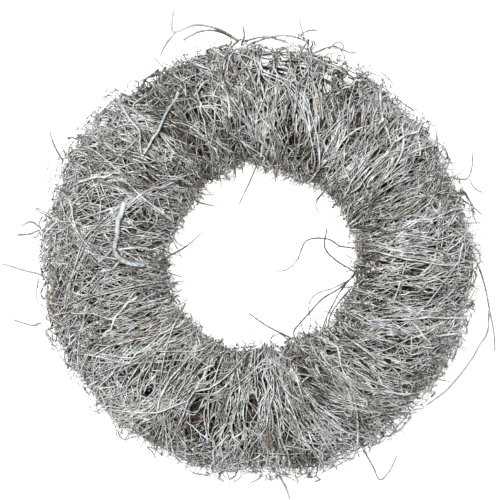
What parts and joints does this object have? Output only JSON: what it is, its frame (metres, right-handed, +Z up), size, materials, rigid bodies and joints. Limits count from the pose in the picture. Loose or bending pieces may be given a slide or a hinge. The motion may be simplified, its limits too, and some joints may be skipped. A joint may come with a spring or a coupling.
{
  "type": "twig wreath",
  "caption": "Ring-shaped wreath of fine whitewashed twigs wound over a crowned wire frame, with an open middle and loose twig ends round the rim.",
  "frame": {"origin": "on the table under the centre of the wire frame", "axes": "+Z up along the wreath's axis, +Y to the back (the top when hung on a wall), +X to the right"},
  "size_m": [0.4496, 0.4482, 0.0682],
  "materials": {
    "frame_wire": "dull galvanised wire",
    "binding_wire": "brown lacquered thin wire",
    "wound_twigs": "dry bark with a patchy white wash, matt",
    "pale_twigs": "thick white wash, matt, slightly blue",
    "stray_twigs": "dry bark with a thin white wash, matt"
  },
  "bodies": {
    "root": {"outer_ring_wire": "frame_wire", "inner_ring_wire": "frame_wire", "upper_ring_wire": "frame_wire", "lower_ring_wire": "frame_wire", "upper_rib_wires": "frame_wire", "lower_rib_wires": "frame_wire", "binding_wire": "binding_wire", "twig_bundle_01": "wound_twigs", "twig_bundle_02": "wound_twigs", "twig_bundle_03": "wound_twigs", "twig_bundle_04": "wound_twigs", "twig_bundle_05": "wound_twigs", "twig_bundle_06": "wound_twigs", "twig_bundle_07": "wound_twigs", "twig_bundle_08": "wound_twigs", "twig_bundle_09": "wound_twigs", "twig_bundle_10": "wound_twigs", "twig_bundle_11": "wound_twigs", "twig_bundle_12": "wound_twigs", "twig_bundle_13": "wound_twigs", "twig_bundle_14": "wound_twigs", "twig_bundle_15": "wound_twigs", "twig_bundle_16": "wound_twigs", "twig_bundle_17": "wound_twigs", "twig_bundle_18": "wound_twigs", "twig_bundle_19": "wound_twigs", "twig_bundle_20": "wound_twigs", "twig_bundle_21": "wound_twigs", "twig_bundle_22": "wound_twigs", "twig_bundle_23": "wound_twigs", "twig_bundle_24": "wound_twigs", "twig_bundle_25": "wound_twigs", "twig_bundle_26": "wound_twigs", "twig_bundle_27": "wound_twigs", "twig_bundle_28": "wound_twigs", "twig_bundle_29": "wound_twigs", "twig_bundle_30": "wound_twigs", "forked_branch": "pale_twigs", "straight_pale_twig": "pale_twigs", "bent_pale_twig": "pale_twigs", "cross_twigs": "pale_twigs", "rim_twigs": "stray_twigs", "stray_twigs_back_left": "stray_twigs", "stray_twigs_back": "stray_twigs", "stray_twigs_right": "stray_twigs", "stray_twigs_front_right": "stray_twigs", "stray_twigs_front": "stray_twigs", "stray_twigs_left": "stray_twigs"}
  },
  "joints": []
}
